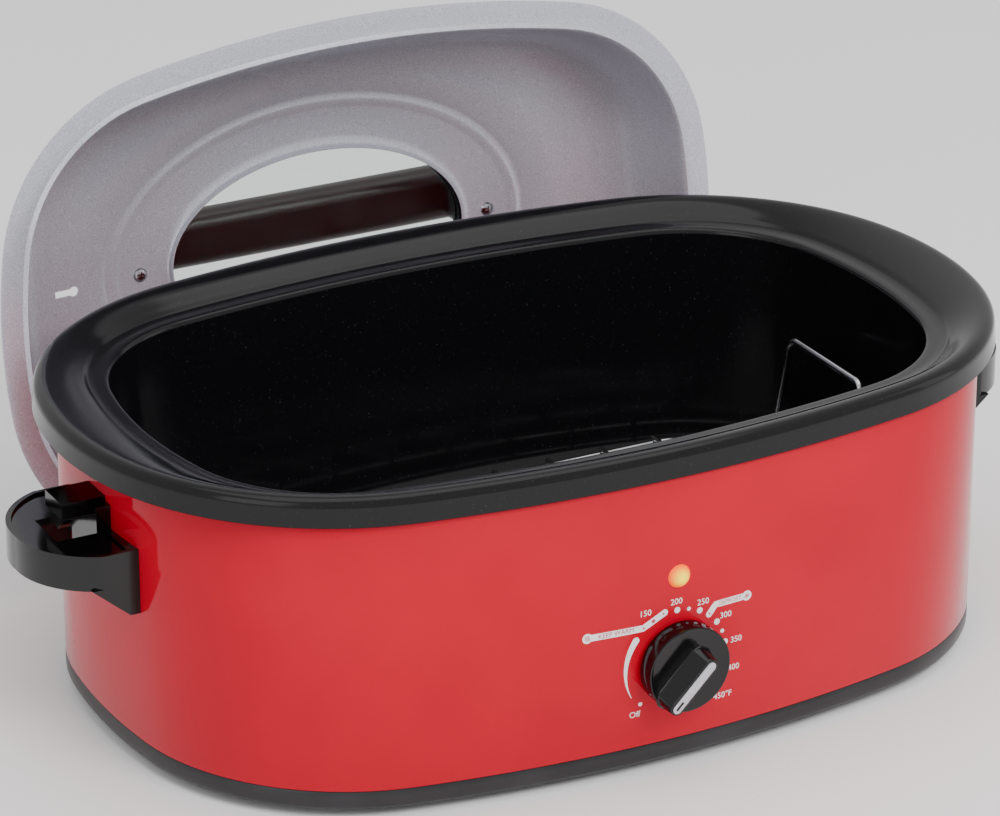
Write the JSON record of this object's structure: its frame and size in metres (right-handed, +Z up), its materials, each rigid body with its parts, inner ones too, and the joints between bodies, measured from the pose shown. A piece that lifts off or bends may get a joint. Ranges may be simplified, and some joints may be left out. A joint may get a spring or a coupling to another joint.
{
  "type": "electric roaster oven",
  "caption": "Oval countertop roaster oven with a lift-out enamel pan and rack, side handles, thermostat knob, and its domed lid standing behind it.",
  "frame": {"origin": "middle of the whole outline, on the table", "axes": "+X along the cooker to its right end, +Y from the front to the back, +Z up"},
  "size_m": [0.6068, 0.5086, 0.3106],
  "materials": {
    "red_paint": "gloss",
    "black_trim": "satin",
    "zinc_steel": "galvanised",
    "foot_rubber": "matte",
    "screw_steel": "bright",
    "black_enamel": "gloss enamel",
    "glass_wool": "fibrous",
    "gloss_black": "gloss",
    "silver_foil": "satin",
    "amber_lens": "clear",
    "wire_cover": "matte",
    "silver_paint": "satin",
    "window_glass": "clear",
    "seal_rubber": "matte",
    "rack_chrome": "plated"
  },
  "bodies": {
    "root": {"outer_shell": "red_paint", "base_ring": "black_trim", "bottom_cover": "zinc_steel", "rubber_feet": "foot_rubber", "foot_screws": "screw_steel", "heat_well": "zinc_steel", "well_floor": "zinc_steel", "heating_band": "zinc_steel", "band_terminals": "screw_steel", "insulation_blanket": "glass_wool", "thermostat_bracket": "zinc_steel", "thermostat_body": "black_trim", "thermostat_bulb": "screw_steel", "pilot_lens": "amber_lens", "lamp_holder": "black_trim", "cord_gland": "black_trim", "terminal_block": "black_trim", "inner_wires": "wire_cover", "right_handle": "gloss_black", "left_handle": "gloss_black", "handle_backing_plates": "zinc_steel", "handle_screws": "screw_steel"},
    "pan": {"roasting_pan": "black_enamel"},
    "rack": {"roasting_rack": "rack_chrome", "rack_loops": "rack_chrome", "rack_feet": "rack_chrome"},
    "knob": {"control_knob": "gloss_black", "knob_insert": "silver_foil", "thermostat_shaft": "screw_steel"},
    "lid": {"lid_dome": "silver_paint", "lid_window": "window_glass", "window_seal": "seal_rubber", "lid_handle": "gloss_black", "lid_screws": "screw_steel"}
  },
  "joints": [
    {"name": "knob_turn", "type": "hinge", "parent": "root", "child": "knob", "pos_m": [0, -0.23069, 0.0625], "axis": [0, 1, 0], "range_deg": [0, 270]},
    {"name": "lid_lift", "type": "slide", "parent": "root", "child": "lid", "axis": [0, 0.0649, 0.9979], "range_m": [0, 0.25]},
    {"name": "pan_lift", "type": "slide", "parent": "root", "child": "pan", "axis": [0, 0, 1], "range_m": [0, 0.2]},
    {"name": "rack_lift", "type": "slide", "parent": "pan", "child": "rack", "axis": [0, 0, 1], "range_m": [0, 0.16]}
  ]
}
